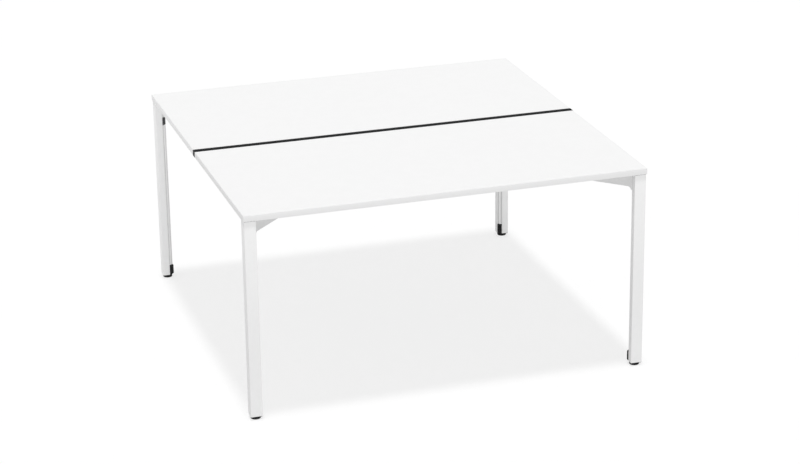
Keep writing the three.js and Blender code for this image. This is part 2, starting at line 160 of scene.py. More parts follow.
# Moulded black plastic: a spark-eroded mould leaves a matt grain 0.7 mm wide, which scatters a
# soft grey sheen, with slightly paler rubbed patches about 9 mm wide.
black_plastic, tree = empty_material("moulded_black_plastic")
where = add_node(tree, "ShaderNodeTexCoord").outputs["Object"]
grain = add_node(tree, "ShaderNodeTexVoronoi", {"Vector": where, "Scale": 1 / SPARK_GRAIN},
                 feature="SMOOTH_F1")
wear = add_node(tree, "ShaderNodeTexNoise", {
    "Vector": where, "Scale": 1 / WEAR_SPREAD, "Detail": 3.0})
tone = add_node(tree, "ShaderNodeMix", {
    SHARE: wear.outputs["Fac"], FIRST: linear(PLASTIC_BLACK), SECOND: linear(PLASTIC_WORN)},
    data_type="RGBA")
matt = add_node(tree, "ShaderNodeMapRange", {
    "Value": wear.outputs["Fac"], "To Min": 0.62, "To Max": 0.48})
relief = add_node(tree, "ShaderNodeBump", {
    "Height": grain.outputs["Distance"], "Strength": 0.35, "Distance": 0.0001})
shell = add_node(tree, "ShaderNodeBsdfPrincipled", {
    "Base Color": tone.outputs[MIXED], "Roughness": matt.outputs["Result"],
    "Normal": relief.outputs["Normal"], "IOR": 1.53, "Specular IOR Level": 0.06})
add_node(tree, "ShaderNodeOutputMaterial", {"Surface": shell.outputs["BSDF"]})

for corner in CORNERS:
    node = "leg_cap_" + corner
    cap = cad_copy(node)
    round_edges(cap, CAP_EDGE)
    add_piece("leg_top_plug_" + corner, cap, black_plastic, "desk", [node])


# Corner arms: die-cast aluminium troughs, keyed into the leg's channel and flared at the root. Each
# ends in a hub with two spigots for the beams. Edges have the soft radius of a casting, but the
# seat on the leg is milled and sharp.
CAST_EDGE = 0.0011
CAST_FLARE = 0.0022
SEAT_REACH = 0.022
FLARE_REACH = 1.2 * SEAT_REACH
FLARE_RISE = 0.02
FLARE_BEND = radians(50)
CAST_SKIN = 0.0028
# Both whites of the arms are greyer than the legs' coat: painted shade for the shade under the
# worktop.
CAST_WHITE_PAINTED_SHADE = "#e0e0e0"
CAST_DARKER_PAINTED_SHADE = "#dadada"

# Powder coat over a casting: the sand-fine skin of the casting makes the peel broader, 2.8 mm.
# Its white is painted greyer than the legs' white, as painted shade for the shade under the
# worktop.
cast_coat, tree = empty_material("coat_on_casting_painted_shade")
where = add_node(tree, "ShaderNodeTexCoord").outputs["Object"]
skin = add_node(tree, "ShaderNodeTexNoise", {
    "Vector": where, "Scale": 1 / CAST_SKIN, "Detail": 3.0})
tone = add_node(tree, "ShaderNodeMix", {
    SHARE: skin.outputs["Fac"], FIRST: linear(CAST_DARKER_PAINTED_SHADE), SECOND: linear(CAST_WHITE_PAINTED_SHADE)},
    data_type="RGBA")
satin = add_node(tree, "ShaderNodeMapRange", {
    "Value": skin.outputs["Fac"], "To Min": 0.46, "To Max": 0.60})
relief = add_node(tree, "ShaderNodeBump", {
    "Height": skin.outputs["Fac"], "Strength": 0.3, "Distance": 0.00015})
coat = add_node(tree, "ShaderNodeBsdfPrincipled", {
    "Base Color": tone.outputs[MIXED], "Roughness": satin.outputs["Result"],
    "Normal": relief.outputs["Normal"], "IOR": 1.5, "Specular IOR Level": 0.2})
add_node(tree, "ShaderNodeOutputMaterial", {"Surface": coat.outputs["BSDF"]})


def from_axis(edge, axis):
    """How far the nearer end of an edge is from an upright axis."""
    return min((vert.co.xy - axis).length for vert in edge.verts)


for corner in CORNERS:
    arm = cad_copy("corner_arm_" + corner)
    low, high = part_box("leg_" + corner)
    leg_axis = ((low + high) / 2).xy
    flare = [edge for edge in arm.edges
             if SEAT_REACH < from_axis(edge, leg_axis) < FLARE_REACH
             and abs(edge.verts[0].co.z - edge.verts[1].co.z) > FLARE_RISE
             and edge.calc_face_angle_signed(pi) < FLARE_BEND]
    round_edges(arm, CAST_FLARE, 4, flare)
    beyond_seat = [edge for edge in arm.edges if from_axis(edge, leg_axis) > SEAT_REACH]
    round_edges(arm, CAST_EDGE, 3, beyond_seat)
    add_piece("cast_arm_" + corner, arm, cast_coat, "desk", ["corner_arm_" + corner])


# Nut plates and arm screws: zinc-plated steel. Two M6 socket-head screws pull each arm's root
# against the leg, from inside the trough into a tapped plate in the leg's hollow.
SCREW_CORE = 0.00245
SCREW_RIDGE = 0.00050
SCREW_PITCH = 0.0010
SCREW_THREAD = 0.0120
SCREW_POINT = 0.0008
SCREW_SETBACK = 0.0021
SCREW_SEAT = 0.0073
SCREW_HEAD = 0.0050
SCREW_HEAD_HEIGHT = 0.0060
SCREW_HEAD_EDGE = 0.0005
SOCKET_WIDTH = 0.0050
SOCKET_DEPTH = 0.0030
LEG_CHAMFER = 0.016
ZINC_BRIGHT = "#c3c6ca"
ZINC_DULL = "#a9adb3"
ZINC_SPANGLE = 0.0022

# Bright zinc plating: a cool grey metal with a cloudy bloom, in patches about 2 mm wide.
zinc, tree = empty_material("bright_zinc_plating")
where = add_node(tree, "ShaderNodeTexCoord").outputs["Object"]
bloom = add_node(tree, "ShaderNodeTexNoise", {
    "Vector": where, "Scale": 1 / ZINC_SPANGLE, "Detail": 4.0})
tone = add_node(tree, "ShaderNodeMix", {
    SHARE: bloom.outputs["Fac"], FIRST: linear(ZINC_DULL), SECOND: linear(ZINC_BRIGHT)},
    data_type="RGBA")
sheen = add_node(tree, "ShaderNodeMapRange", {
    "Value": bloom.outputs["Fac"], "To Min": 0.42, "To Max": 0.26})
plating = add_node(tree, "ShaderNodeBsdfPrincipled", {
    "Base Color": tone.outputs[MIXED], "Metallic": 1.0, "Roughness": sheen.outputs["Result"]})
add_node(tree, "ShaderNodeOutputMaterial", {"Surface": plating.outputs["BSDF"]})

for corner in CORNERS:
    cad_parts["nut_plate_" + corner].data.materials[0] = zinc


def turned(profile, sides=32):
    """A solid turned about Z from (radius, height) points, the first and last on the axis."""
    solid = bmesh.new()
    rings = []
    for radius, height in profile:
        if radius == 0:
            rings.append([solid.verts.new((0, 0, height))] * sides)
        else:
            turns = [2 * pi * side / sides for side in range(sides)]
            rings.append([solid.verts.new((radius * cos(t), radius * sin(t), height))
                          for t in turns])
    for low, high in zip(rings, rings[1:]):
        for side in range(sides):
            after = (side + 1) % sides
            face = [low[side], low[after], high[after], high[side]]
            solid.faces.new([vert for at, vert in enumerate(face) if vert not in face[:at]])
    bmesh.ops.recalc_face_normals(solid, faces=solid.faces)
    return solid


def socket_head(solid, across_flats, depth):
    """Sinks a hexagon socket into the topmost face, a fan of triangles, of a turned screw."""
    top = max(solid.verts, key=lambda vert: vert.co.z)
    height = top.co.z
    rim = sorted((edge.other_vert(top) for edge in top.link_edges),
                 key=lambda vert: atan2(vert.co.y, vert.co.x))
    bmesh.ops.delete(solid, geom=[top], context="VERTS")
    step = len(rim) // 6
    corner_radius = across_flats / 2 / cos(pi / 6)
    upper, lower = [], []
    for at in range(6):
        turn = atan2(rim[at * step].co.y, rim[at * step].co.x)
        x, y = corner_radius * cos(turn), corner_radius * sin(turn)
        upper.append(solid.verts.new((x, y, height)))
        lower.append(solid.verts.new((x, y, height - depth)))
    for at in range(6):
        after = (at + 1) % 6
        arc = [rim[(at * step + side) % len(rim)] for side in range(step + 1)]
        solid.faces.new(arc + [upper[after], upper[at]])
        solid.faces.new([upper[at], upper[after], lower[after], lower[at]])
    solid.faces.new(lower)
    bmesh.ops.recalc_face_normals(solid, faces=solid.faces)


def open_tree(name, sockets, takes_geometry=True):
    """A new node tree with named inputs, these inputs, and the node that gives them."""
    new_tree = bpy.data.node_groups.new(name, "GeometryNodeTree")
    add_socket = new_tree.interface.new_socket
    if takes_geometry:
        add_socket("Geometry", in_out="INPUT", socket_type="NodeSocketGeometry")
    inputs = {socket: add_socket(socket, in_out="INPUT", socket_type="NodeSocket" + kind)
              for socket, kind in sockets.items()}
    add_socket("Geometry", in_out="OUTPUT", socket_type="NodeSocketGeometry")
    return new_tree, inputs, add_node(new_tree, "NodeGroupInput").outputs


def close_tree(open_one, geometry, material):
    """Ends a node tree: makes all instances real and gives the mesh its material."""
    real = add_node(open_one, "GeometryNodeRealizeInstances", {"Geometry": geometry})
    dressed = add_node(open_one, "GeometryNodeSetMaterial", {
        "Geometry": real.outputs["Geometry"], "Material": material})
    add_node(open_one, "NodeGroupOutput", {"Geometry": dressed.outputs["Geometry"]})


def grown(solid, node_tree, inputs, values):
    """The plain mesh that a node tree makes of a solid, with the tree's inputs set to values."""
    mesh = bpy.data.meshes.new("seed")
    solid.to_mesh(mesh)
    seed = bpy.data.objects.new("seed", mesh)
    bpy.context.scene.collection.objects.link(seed)
    modifier = seed.modifiers.new("tree", "NODES")
    modifier.node_group = node_tree
    for name, value in values.items():
        modifier[inputs[name].identifier] = value
    evaluated = seed.evaluated_get(bpy.context.evaluated_depsgraph_get())
    result = bpy.data.meshes.new_from_object(evaluated)
    seed.modifiers.remove(modifier)
    bpy.data.objects.remove(seed)
    return result


# The thread of a screw: a spiral ridge of diamond section, laid round the core that comes in.
thread, thread_inputs, given = open_tree("screw_thread", {
    "Core Radius": "Float", "Ridge": "Float", "Pitch": "Float", "Start": "Float",
    "Length": "Float", "Metal": "Material"})
turns = add_node(thread, "ShaderNodeMath", {0: given["Length"], 1: given["Pitch"]},
                 operation="DIVIDE")
spiral = add_node(thread, "GeometryNodeCurveSpiral", {
    "Resolution": 20, "Rotations": turns.outputs["Value"], "Start Radius": given["Core Radius"],
    "End Radius": given["Core Radius"], "Height": given["Length"]})
lift = add_node(thread, "ShaderNodeCombineXYZ", {"Z": given["Start"]})
raised = add_node(thread, "GeometryNodeTransform", {
    "Geometry": spiral.outputs["Curve"], "Translation": lift.outputs["Vector"]})
ridge = add_node(thread, "GeometryNodeCurvePrimitiveCircle", {
    "Resolution": 4, "Radius": given["Ridge"]}, mode="RADIUS")
swept = add_node(thread, "GeometryNodeCurveToMesh", {
    "Curve": raised.outputs["Geometry"], "Profile Curve": ridge.outputs["Curve"],
    "Fill Caps": True})
both = add_node(thread, "GeometryNodeJoinGeometry", {"Geometry": given["Geometry"]})
thread.links.new(swept.outputs["Mesh"], both.inputs["Geometry"])
close_tree(thread, both.outputs["Geometry"], given["Metal"])


def corner_place(corner):
    """Moves a piece from the corner frame, in which the leg's outer corner is at 0, 0."""
    low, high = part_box("leg_" + corner)
    x = high.x if "right" in corner else low.x
    y = high.y if "rear" in corner else low.y
    turn = Matrix.Rotation(CORNERS.index(corner) * pi / 2, 4, "Z")
    return Matrix.Translation((x, y, 0)) @ turn


leg_low, leg_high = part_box("leg_front_left")
cut_middle = leg_high.x - leg_low.x - LEG_CHAMFER / 2
solid_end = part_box("arm_screw_upper_front_left")[0].x - leg_low.x - cut_middle
screw_end = solid_end * 2 ** 0.5 + SCREW_SETBACK
screw_top = SCREW_SEAT + SCREW_HEAD_HEIGHT
screw_core = turned([
    (0, screw_end), (SCREW_CORE - SCREW_POINT, screw_end), (SCREW_CORE, screw_end + SCREW_POINT),
    (SCREW_CORE, SCREW_SEAT), (SCREW_HEAD, SCREW_SEAT), (SCREW_HEAD, screw_top - SCREW_HEAD_EDGE),
    (SCREW_HEAD - SCREW_HEAD_EDGE, screw_top), (0, screw_top)], sides=48)
socket_head(screw_core, SOCKET_WIDTH, SOCKET_DEPTH)
arm_screw = grown(screw_core, thread, thread_inputs, {
    "Core Radius": SCREW_CORE, "Ridge": SCREW_RIDGE, "Pitch": SCREW_PITCH,
    "Start": screw_end + SCREW_PITCH, "Length": SCREW_THREAD, "Metal": zinc})
out_of_cut = Matrix.Rotation(pi / 4, 4, "Z") @ Matrix.Rotation(pi / 2, 4, "Y")
for corner in CORNERS:
    for row in ("upper", "lower"):
        node = f"arm_screw_{row}_{corner}"
        low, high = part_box(node)
        height = Matrix.Translation((cut_middle, cut_middle, (low.z + high.z) / 2))
        add_piece(f"socket_screw_{row}_{corner}", arm_screw.copy(), zinc, "desk", [node],
                  corner_place(corner) @ height @ out_of_cut)


# Cable covers: long strips of extruded white PVC that snap into the rebate of the cut face. A
# raised rib stands between two grooves, in which grey lips lie, and two hooked legs behind spring
# against the channel's walls. The lips' grey is painted shade in the grooves.
COVER_HALF = 0.0074
COVER_BACK = -0.0016
COVER_SHELF = -0.0009
COVER_RIB = 0.0041
COVER_FACE = 0.0012
COVER_LEG_OUT = 0.0064
COVER_LEG_IN = 0.0055
COVER_LEG_END = -0.0050
COVER_HOOK = 0.00025
COVER_HOOK_RISE = 0.0006
COVER_EDGE = 0.0007
COVER_ROOT = 0.0003
COVER_TUCK = 0.0024
LIP_HEIGHT = 0.0005
LIP_MARGIN = 0.0002
COVER_WHITE = "#fafafa"
COVER_SHADE = "#f5f5f5"
LIP_GREY_PAINTED_SHADE = "#d8d8d8"
LIP_DARKER_PAINTED_SHADE = "#d0d0d0"
DIE_LINE = 0.0009
DIE_LENGTH = 0.090

# Extruded PVC: the die draws faint lines along the strip, 0.9 mm apart and about 90 mm long, on a
# silky white.
cover_pvc, tree = empty_material("extruded_white_pvc")
where = add_node(tree, "ShaderNodeTexCoord").outputs["Object"]
along = add_node(tree, "ShaderNodeMapping", {
    "Vector": where, "Scale": (1 / DIE_LINE, 1 / DIE_LINE, 1 / DIE_LENGTH)})
drawn = add_node(tree, "ShaderNodeTexNoise", {
    "Vector": along.outputs["Vector"], "Scale": 1.0, "Detail": 2.0})
tone = add_node(tree, "ShaderNodeMix", {
    SHARE: drawn.outputs["Fac"], FIRST: linear(COVER_SHADE), SECOND: linear(COVER_WHITE)},
    data_type="RGBA")
silk = add_node(tree, "ShaderNodeMapRange", {
    "Value": drawn.outputs["Fac"], "To Min": 0.36, "To Max": 0.48})
relief = add_node(tree, "ShaderNodeBump", {
    "Height": drawn.outputs["Fac"], "Strength": 0.2, "Distance": 0.0001})
pvc = add_node(tree, "ShaderNodeBsdfPrincipled", {
    "Base Color": tone.outputs[MIXED], "Roughness": silk.outputs["Result"],
    "Normal": relief.outputs["Normal"], "IOR": 1.53, "Specular IOR Level": 0.2})
add_node(tree, "ShaderNodeOutputMaterial", {"Surface": pvc.outputs["BSDF"]})


def retinted(material, name, dark, light):
    """A copy of a material with another name, and with other colours to mix its tone from."""
    copy = material.copy()
    copy.name = name
    mix = next(node for node in copy.node_tree.nodes if node.bl_idname == "ShaderNodeMix")
    mix.inputs[FIRST].default_value = linear(dark)
    mix.inputs[SECOND].default_value = linear(light)
    return copy


def filleted(corners, steps=3):
    """The outline through (x, y, radius) corners, with each corner rounded by an arc."""
    outline = []
    for at, (x, y, radius) in enumerate(corners):
        point = Vector((x, y))
        to_last = (Vector(corners[at - 1][:2]) - point).normalized()
        to_next = (Vector(corners[(at + 1) % len(corners)][:2]) - point).normalized()
        if radius == 0:
            outline.append(point)
            continue
        half = to_last.angle(to_next) / 2
        centre = point + (to_last + to_next).normalized() * (radius / sin(half))
        first = point + to_last * (radius / tan(half)) - centre
        last = point + to_next * (radius / tan(half)) - centre
        start = atan2(first.y, first.x)
        sweep = (atan2(last.y, last.x) - start + pi) % (2 * pi) - pi
        turns = [start + sweep * step / steps for step in range(steps + 1)]
        outline.extend(centre + radius * Vector((cos(turn), sin(turn))) for turn in turns)
    return outline


def extruded(outline, bottom, top):
    """An upright prism of an outline in the XY plane."""
    solid = bmesh.new()
    ends = [[solid.verts.new((point.x, point.y, height)) for point in outline]
            for height in (bottom, top)]
    for end in ends:
        solid.faces.new(end)
    for at in range(len(outline)):
        before = at - 1
        solid.faces.new([ends[0][before], ends[0][at], ends[1][at], ends[1][before]])
    bmesh.ops.recalc_face_normals(solid, faces=solid.faces)
    return solid


hook_root = COVER_LEG_END + 2 * COVER_HOOK_RISE
cover_side = [
    (COVER_FACE, COVER_RIB, COVER_EDGE), (COVER_SHELF, COVER_RIB, COVER_ROOT),
    (COVER_SHELF, COVER_HALF, COVER_ROOT), (COVER_BACK, COVER_HALF, COVER_ROOT),
    (COVER_BACK, COVER_LEG_OUT, 0), (hook_root, COVER_LEG_OUT, 0),
    (COVER_LEG_END + COVER_HOOK_RISE, COVER_LEG_OUT + COVER_HOOK, 0),
    (COVER_LEG_END, COVER_LEG_OUT - COVER_HOOK, 0), (COVER_LEG_END, COVER_LEG_IN, 0),
    (COVER_BACK, COVER_LEG_IN, 0)]
other_side = [(depth, -across, radius) for depth, across, radius in reversed(cover_side)]
cover_outline = filleted(cover_side + other_side)
lip_outer = COVER_HALF - LIP_MARGIN
lip_inner = COVER_RIB + LIP_MARGIN
lip_outline = (
    (COVER_SHELF, lip_inner), (COVER_SHELF, lip_outer), (COVER_SHELF + LIP_HEIGHT, lip_outer),
    (COVER_SHELF + LIP_HEIGHT / 2, lip_inner))
# The lips' grey stands for the shade in the grooves beside the rib: painted shade.
lip_pvc_painted_shade = retinted(cover_pvc, "grey_pvc_painted_groove_shade", LIP_DARKER_PAINTED_SHADE, LIP_GREY_PAINTED_SHADE)
on_cut = Matrix.Translation((cut_middle, cut_middle, 0)) @ Matrix.Rotation(pi / 4, 4, "Z")
for corner in CORNERS:
    node = "cable_cover_" + corner
    place = corner_place(corner) @ on_cut
    low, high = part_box(node)
    cover_top = high.z - COVER_TUCK
    cover = extruded(cover_outline, low.z, cover_top)
    add_piece("snap_cover_" + corner, cover, cover_pvc, "desk", [node], place)
    for side, mirror in (("near", 1), ("far", -1)):
        outline = [Vector((depth, mirror * across)) for depth, across in lip_outline]
        lip = extruded(outline, low.z, cover_top)
        add_piece(f"cover_lip_{side}_{corner}", lip, lip_pvc_painted_shade, "desk", (), place)


# Inlet linings: dark grey plastic mouldings, which line the cable inlet under each arm, with a flat
# collar over the sawn edges of the leg and the end of the cover. Their grey is painted shade: it
# gives the lining and its lit collar the tone of a shaded opening into the channel, mixed like the
# black plastic.
LINING_EDGE = 0.0003
COLLAR_HALF = 0.0098
COLLAR_MOUTH = 0.0053
COLLAR_PROUD = 0.0009
COLLAR_SILL = 0.0012
# Painted shade: the tone of a shaded opening, given to both the lining and its collar.
LINING_SHADE_GREY = "#5e5e5f"
LINING_SHADE_PALER = "#68686a"
inlet_shade_plastic = retinted(black_plastic, "inlet_grey_painted_shade", LINING_SHADE_GREY, LINING_SHADE_PALER)


def holed_plate(outer, inner, back, front):
    """A plate across the X axis with a hole; outer and inner are (half width, bottom, top)."""
    solid = bmesh.new()
    loops = []
    for half_width, bottom, top in (outer, inner):
        sides = ((-half_width, bottom), (half_width, bottom),
                 (half_width, top), (-half_width, top))
        loops.extend([solid.verts.new((depth, *side)) for side in sides]
                     for depth in (back, front))
    for first, second in ((0, 1), (1, 3), (3, 2), (2, 0)):
        for at in range(4):
            solid.faces.new((loops[first][at - 1], loops[first][at],
                             loops[second][at], loops[second][at - 1]))
    bmesh.ops.recalc_face_normals(solid, faces=solid.faces)
    return solid


for corner in CORNERS:
    node = "inlet_lining_" + corner
    lining = cad_copy(node)
    round_edges(lining, LINING_EDGE)
    add_piece("inlet_frame_" + corner, lining, inlet_shade_plastic, "desk", [node])
    low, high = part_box(node)
    mouth = (COLLAR_MOUTH, low.z + COLLAR_SILL, high.z - COLLAR_SILL)
    collar = holed_plate((COLLAR_HALF, low.z - COVER_TUCK, high.z), mouth, 0, COLLAR_PROUD)
    round_edges(collar, LINING_EDGE)
    add_piece("inlet_collar_" + corner, collar, inlet_shade_plastic, "desk", (),
              corner_place(corner) @ on_cut)


# Foot caps: black plastic mouldings. Each plugs the leg's lower end, and its rounded hood rises
# along the cut face, lets the cable out above the floor and hides the end of the cover. The hood
# swells a little outwards.
FOOT_EDGE = 0.0006
HOOD_SWELL = 1.22
for corner in CORNERS:
    node = "foot_cap_" + corner
    foot = cad_copy(node)
    place = corner_place(corner) @ on_cut
    to_cut = place.inverted()
    for vert in foot.verts:
        out_from_cut = to_cut @ vert.co
        if out_from_cut.x > 0:
            out_from_cut.x *= HOOD_SWELL
            vert.co = place @ out_from_cut
    round_edges(foot, FOOT_EDGE)
    add_piece("hooded_foot_" + corner, foot, black_plastic, "desk", [node])


# Threaded bushes: turned brass inserts, pressed into the foot caps, in which the levelling stems
# screw. They are out of sight inside the leg, so the solid of the frame stays and gets its metal.
BRASS_LIGHT = "#c9a765"
BRASS_DARK = "#b08f50"
TOOL_MARK = 0.0004
WAVE_LENGTH = 0.314

# Turned brass: fine rings 0.4 mm apart, left by the cutting tool, on a warm yellow metal. A wave
# pattern of scale 1 repeats every 0.314 m.
brass, tree = empty_material("turned_brass")
where = add_node(tree, "ShaderNodeTexCoord").outputs["Object"]
rings = add_node(tree, "ShaderNodeTexWave", {
    "Vector": where, "Scale": WAVE_LENGTH / TOOL_MARK, "Distortion": 1.5},
    wave_type="BANDS", bands_direction="Z")
tone = add_node(tree, "ShaderNodeMix", {
    SHARE: rings.outputs["Fac"], FIRST: linear(BRASS_DARK), SECOND: linear(BRASS_LIGHT)},
    data_type="RGBA")
relief = add_node(tree, "ShaderNodeBump", {
    "Height": rings.outputs["Fac"], "Strength": 0.2, "Distance": 0.00005})
metal = add_node(tree, "ShaderNodeBsdfPrincipled", {
    "Base Color": tone.outputs[MIXED], "Metallic": 1.0, "Roughness": 0.3,
    "Normal": relief.outputs["Normal"]})
add_node(tree, "ShaderNodeOutputMaterial", {"Surface": metal.outputs["BSDF"]})

for corner in CORNERS:
    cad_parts["threaded_bush_" + corner].data.materials[0] = brass


# Glide stems: zinc-plated M8 screws with a flat flange and a rolled thread, 1.25 mm to the turn.
# The flange turns in the well of the pad, so the pad stays still on the floor while the stem is
# screwed out.
STEM_CORE = 0.00335
STEM_RIDGE = 0.00060
STEM_PITCH = 0.00125
STEM_FLANGE = 0.0075
STEM_FLANGE_HEIGHT = 0.0040
STEM_TIP = 0.0012
STEM_EDGE = 0.0004
STEM_SOCKET = 0.0030
STEM_SOCKET_DEPTH = 0.0040
for corner in CORNERS:
    node = "glide_stem_" + corner
    low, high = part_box(node)
    middle = (low + high) / 2
    shoulder = low.z + STEM_FLANGE_HEIGHT
    tip = high.z - STEM_TIP
    stem_core = turned([
        (0, low.z), (STEM_FLANGE - STEM_EDGE, low.z), (STEM_FLANGE, low.z + STEM_EDGE),
        (STEM_FLANGE, shoulder - STEM_EDGE), (STEM_FLANGE - STEM_EDGE, shoulder),
        (STEM_CORE, shoulder), (STEM_CORE, tip), (STEM_CORE - STEM_TIP, high.z), (0, high.z)],
        sides=48)
    socket_head(stem_core, STEM_SOCKET, STEM_SOCKET_DEPTH)
    stem = grown(stem_core, thread, thread_inputs, {
        "Core Radius": STEM_CORE, "Ridge": STEM_RIDGE, "Pitch": STEM_PITCH,
        "Start": shoulder + STEM_PITCH, "Length": tip - shoulder - 2 * STEM_PITCH, "Metal": zinc})
    add_piece("levelling_stem_" + corner, stem, zinc, "stem_" + corner, [node],
              Matrix.Translation((middle.x, middle.y, 0)))


# Glide pads: round black nylon feet. The rim is fluted for the fingers, the edges are rounded, and
# the underside is dished so that only a ring touches the floor.
PAD_FLUTES = 36
PAD_FACETS = 6
PAD_FLUTE_DEPTH = 0.0005
PAD_EDGE = 0.0015
PAD_EDGE_STEPS = 4
PAD_WELL = 0.0078
PAD_WELL_EDGE = 0.0004
PAD_WELL_FLOOR = 0.0042
PAD_DISH = 0.0125
PAD_DISH_DEPTH = 0.0007
NYLON_BLACK = "#1f1f20"
NYLON_SCUFF = "#2e2e2f"
SCUFF_SPREAD = 0.004

# Black nylon: a slightly waxy matt black, scuffed paler in patches about 4 mm wide.
nylon, tree = empty_material("black_nylon")
where = add_node(tree, "ShaderNodeTexCoord").outputs["Object"]
scuff = add_node(tree, "ShaderNodeTexNoise", {
    "Vector": where, "Scale": 1 / SCUFF_SPREAD, "Detail": 4.0})
tone = add_node(tree, "ShaderNodeMix", {
    SHARE: scuff.outputs["Fac"], FIRST: linear(NYLON_BLACK), SECOND: linear(NYLON_SCUFF)},
    data_type="RGBA")
waxy = add_node(tree, "ShaderNodeMapRange", {
    "Value": scuff.outputs["Fac"], "To Min": 0.45, "To Max": 0.62})
relief = add_node(tree, "ShaderNodeBump", {
    "Height": scuff.outputs["Fac"], "Strength": 0.2, "Distance": 0.0001})
polyamide = add_node(tree, "ShaderNodeBsdfPrincipled", {
    "Base Color": tone.outputs[MIXED], "Roughness": waxy.outputs["Result"],
    "Normal": relief.outputs["Normal"], "IOR": 1.53, "Specular IOR Level": 0.08})
add_node(tree, "ShaderNodeOutputMaterial", {"Surface": polyamide.outputs["BSDF"]})

edge_turns = [step * pi / 2 / PAD_EDGE_STEPS for step in range(PAD_EDGE_STEPS + 1)]
edge_arc = [(PAD_EDGE * sin(turn), PAD_EDGE * (1 - cos(turn))) for turn in edge_turns]
for corner in CORNERS:
    node = "glide_pad_" + corner
    low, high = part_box(node)
    middle = (low + high) / 2
    top = high.z
    inner = (high.x - low.x) / 2 - PAD_EDGE
    profile = [(0, PAD_DISH_DEPTH), (PAD_DISH - PAD_DISH_DEPTH, PAD_DISH_DEPTH), (PAD_DISH, 0)]
    profile += [(inner + across, up) for across, up in edge_arc]
    profile += [(inner + across, top - up) for across, up in reversed(edge_arc)]
    profile += [(PAD_WELL + PAD_WELL_EDGE, top), (PAD_WELL, top - PAD_WELL_EDGE),
                (PAD_WELL, PAD_WELL_FLOOR), (0, PAD_WELL_FLOOR)]
    pad = turned(profile, sides=PAD_FACETS * PAD_FLUTES)
    for vert in pad.verts:
        reach = vert.co.xy.length
        share = max(0, (reach - inner) / PAD_EDGE)
        if share > 0:
            hollow = 0.5 - 0.5 * cos(PAD_FLUTES * atan2(vert.co.y, vert.co.x))
            vert.co.xy *= 1 - PAD_FLUTE_DEPTH * share * hollow / reach
    add_piece("fluted_pad_" + corner, pad, nylon, "glide_" + corner, [node],
              Matrix.Translation((middle.x, middle.y, 0)))


# Frame: roll-formed steel tubes pushed on to the arms' spigots, and a wider tube under the strip
# with a plate welded to each end. Powder-coated white like the legs; their edges have the radius
# of the forming rolls.
TUBE_EDGE = 0.0016
WELDED_EDGE = 0.0008
for beam in ("long_beam_front", "long_beam_rear", "cross_beam_left", "cross_beam_right"):
    tube = cad_copy(beam)
    round_edges(tube, TUBE_EDGE, steps=3)
    add_piece(beam.replace("beam", "tube"), tube, powder_coat, "desk", [beam])
centre_tube = cad_copy("centre_beam")
round_edges(centre_tube, WELDED_EDGE)
add_piece("centre_tube", centre_tube, powder_coat, "desk", ["centre_beam"])


# Frame screws: button-head screws with washers, zinc-plated. Rows of long ones pass up through the
# tubes into the worktops, and one near each tube's end goes into the spigot of the arm.
WASHER_RADIUS = 0.0065
WASHER_HEIGHT = 0.0012
WASHER_EDGE = 0.0002
BUTTON_RADIUS = 0.0045
BUTTON_HEIGHT = 0.0026
BUTTON_DOME = ((1, 0), (0.97, 0.35), (0.82, 0.72), (0.6, 1))
BUTTON_SOCKET = 0.0030
BUTTON_SOCKET_DEPTH = 0.0016
SHANK_RADIUS = 0.0022
SHANK_LENGTH = 0.0015
ROW_COUNT = 4
ROW_MARGIN = 0.120
SPIGOT_COUNT = 2
SPIGOT_MARGIN = 0.022
CENTRE_ROW = 0.022
CENTRE_TUBE_DEPTH = 0.040
washer_rim = WASHER_RADIUS - WASHER_EDGE
button = turned([
    (0, -SHANK_LENGTH), (SHANK_RADIUS, -SHANK_LENGTH), (SHANK_RADIUS, 0), (washer_rim, 0),
    (WASHER_RADIUS, WASHER_EDGE), (WASHER_RADIUS, WASHER_HEIGHT - WASHER_EDGE),
    (washer_rim, WASHER_HEIGHT),
    *[(BUTTON_RADIUS * across, WASHER_HEIGHT + BUTTON_HEIGHT * up) for across, up in BUTTON_DOME],
    (0, WASHER_HEIGHT + BUTTON_HEIGHT)], sides=24)
socket_head(button, BUTTON_SOCKET, BUTTON_SOCKET_DEPTH)
bmesh.ops.rotate(button, verts=button.verts, cent=(0, 0, 0), matrix=Matrix.Rotation(pi, 3, "X"))

# A row of screws: one screw, which comes in as Geometry, at each point of a line.
screw_row, row_inputs, given = open_tree("screw_row", {
    "Count": "Int", "First": "Vector", "Step": "Vector", "Metal": "Material"})
line = add_node(screw_row, "GeometryNodeMeshLine", {
    "Count": given["Count"], "Start Location": given["First"], "Offset": given["Step"]},
    mode="OFFSET")
set_out = add_node(screw_row, "GeometryNodeInstanceOnPoints", {
    "Points": line.outputs["Mesh"], "Instance": given["Geometry"]})
close_tree(screw_row, set_out.outputs["Instances"], given["Metal"])

tubes = {"long_front": "long_beam_front", "long_rear": "long_beam_rear",
         "cross_left": "cross_beam_left", "cross_right": "cross_beam_right",
         "centre_front": "centre_beam", "centre_rear": "centre_beam"}
aside = {"centre_front": -CENTRE_ROW, "centre_rear": CENTRE_ROW}
board_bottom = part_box("worktop_front")[0].z
for row, node in tubes.items():
    low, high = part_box(node)
    middle = (low + high) / 2
    tube_bottom = board_bottom - CENTRE_TUBE_DEPTH if row in aside else low.z
    run = Vector((0, 1, 0)) if "cross" in row else Vector((1, 0, 0))
    base = Vector((middle.x, middle.y + aside.get(row, 0), tube_bottom))
    kinds = {"worktop_screws_": (ROW_COUNT, ROW_MARGIN)}
    if row not in aside:
        kinds["spigot_screws_"] = (SPIGOT_COUNT, SPIGOT_MARGIN)
    for kind, (count, margin) in kinds.items():
        half = run.dot(high - low) / 2 - margin
        screws = grown(button, screw_row, row_inputs, {
            "Count": count, "First": base - run * half, "Step": run * (2 * half / (count - 1)),
            "Metal": zinc})
        add_piece(kind + row, screws, zinc, "desk")


